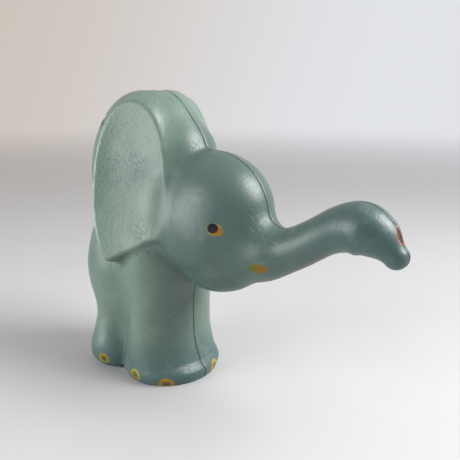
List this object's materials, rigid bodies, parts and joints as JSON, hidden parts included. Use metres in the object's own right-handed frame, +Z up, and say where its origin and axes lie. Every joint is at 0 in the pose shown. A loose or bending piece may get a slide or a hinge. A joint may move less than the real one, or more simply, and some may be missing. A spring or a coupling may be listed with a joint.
{
  "type": "animal coin bank",
  "caption": "Hollow standing elephant money box in two glued half shells, with a coin slot in the back and a turn-bar lock in the base.",
  "frame": {"origin": "on the lock's axis in the base, at table level, in the middle plane", "axes": "+X towards the trunk, +Y to the animal's left, +Z up"},
  "size_m": [0.1551, 0.0616, 0.13],
  "materials": {
    "painted_shell": "satin paint",
    "lock_plate": "plated, pressed sheet",
    "lock_steel": "dull plated",
    "lock_brass": "turned"
  },
  "bodies": {
    "bank": {"right_shell": "painted_shell", "left_shell": "painted_shell"},
    "lock": {"lock_cover": "lock_plate", "lock_washer": "lock_steel"},
    "turn_bar": {"lock_bar": "lock_steel", "lock_spindle": "lock_brass"}
  },
  "joints": [
    {"name": "lock_drop", "type": "slide", "parent": "bank", "child": "lock", "axis": [0, 0, -1], "range_m": [0, 0.04]},
    {"name": "bar_turn", "type": "hinge", "parent": "lock", "child": "turn_bar", "pos_m": [0, 0, 0.003], "axis": [0, 0, 1], "range_deg": [0, 90]}
  ]
}
